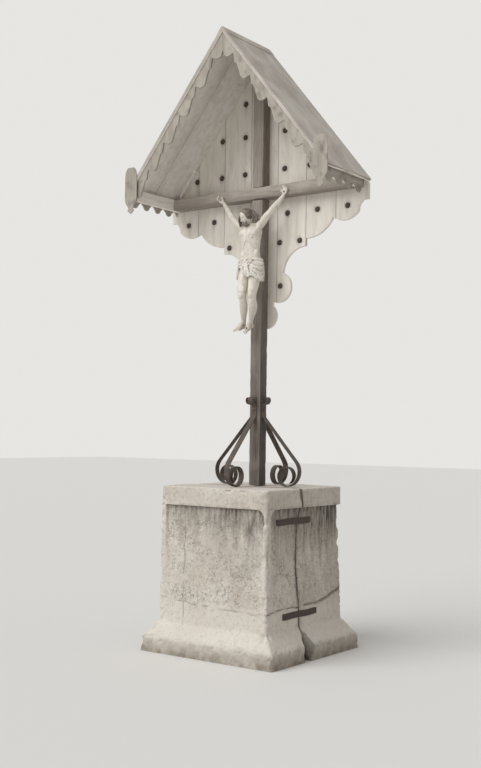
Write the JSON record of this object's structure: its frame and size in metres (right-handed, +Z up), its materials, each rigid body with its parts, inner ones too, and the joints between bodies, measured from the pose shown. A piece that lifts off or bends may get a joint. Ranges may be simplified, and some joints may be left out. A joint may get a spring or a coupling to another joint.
{
  "type": "wayside shrine",
  "caption": "Roofed wayside crucifix: scalloped back boards and a gabled roof over a carved figure, on a wooden post with iron scroll braces and a stone pedestal.",
  "frame": {"origin": "middle of the pedestal's base at ground level", "axes": "+Z up; -Y is the front, the side that the figure faces; +X to the right seen from the front"},
  "size_m": [1.792, 1.138, 4.4547],
  "materials": {
    "stone": "weathered pale limestone",
    "iron": "dark wrought iron with rust",
    "dark_wood": "worn dark grey-brown paint on wood",
    "pale_boards": "weathered cream paint on wood",
    "trim": "weathered grey paint on wood",
    "roof_metal": "dull weathered sheet metal",
    "figure_paint": "off-white painted carving",
    "cloth_paint": "off-white painted carving"
  },
  "bodies": {
    "root": {"pedestal_front_block": "stone", "pedestal_rear_block": "stone", "cramp_upper_right": "iron", "cramp_lower_right": "iron", "cramp_upper_left": "iron", "cramp_lower_left": "iron", "brace_front": "iron", "brace_right": "iron", "brace_back": "iron", "brace_left": "iron", "board_studs": "iron", "post": "dark_wood", "crossbeam": "dark_wood", "board_centre": "pale_boards", "board_right_1": "pale_boards", "board_right_2": "pale_boards", "board_right_3": "pale_boards", "board_left_1": "pale_boards", "board_left_2": "pale_boards", "board_left_3": "pale_boards", "side_rail_right": "pale_boards", "side_rail_left": "pale_boards", "slope_batten_right": "pale_boards", "slope_batten_left": "pale_boards", "roof_deck_right": "pale_boards", "roof_deck_left": "pale_boards", "verge_board_right": "trim", "verge_board_left": "trim", "eave_valance_right": "trim", "eave_valance_left": "trim", "corner_pendant_right": "trim", "corner_pendant_left": "trim", "roof_sheet_right": "roof_metal", "roof_sheet_left": "roof_metal", "ridge_cap": "roof_metal", "figure_body": "figure_paint", "figure_head": "figure_paint", "figure_arm_right": "figure_paint", "figure_arm_left": "figure_paint", "loincloth": "cloth_paint"}
  },
  "joints": []
}
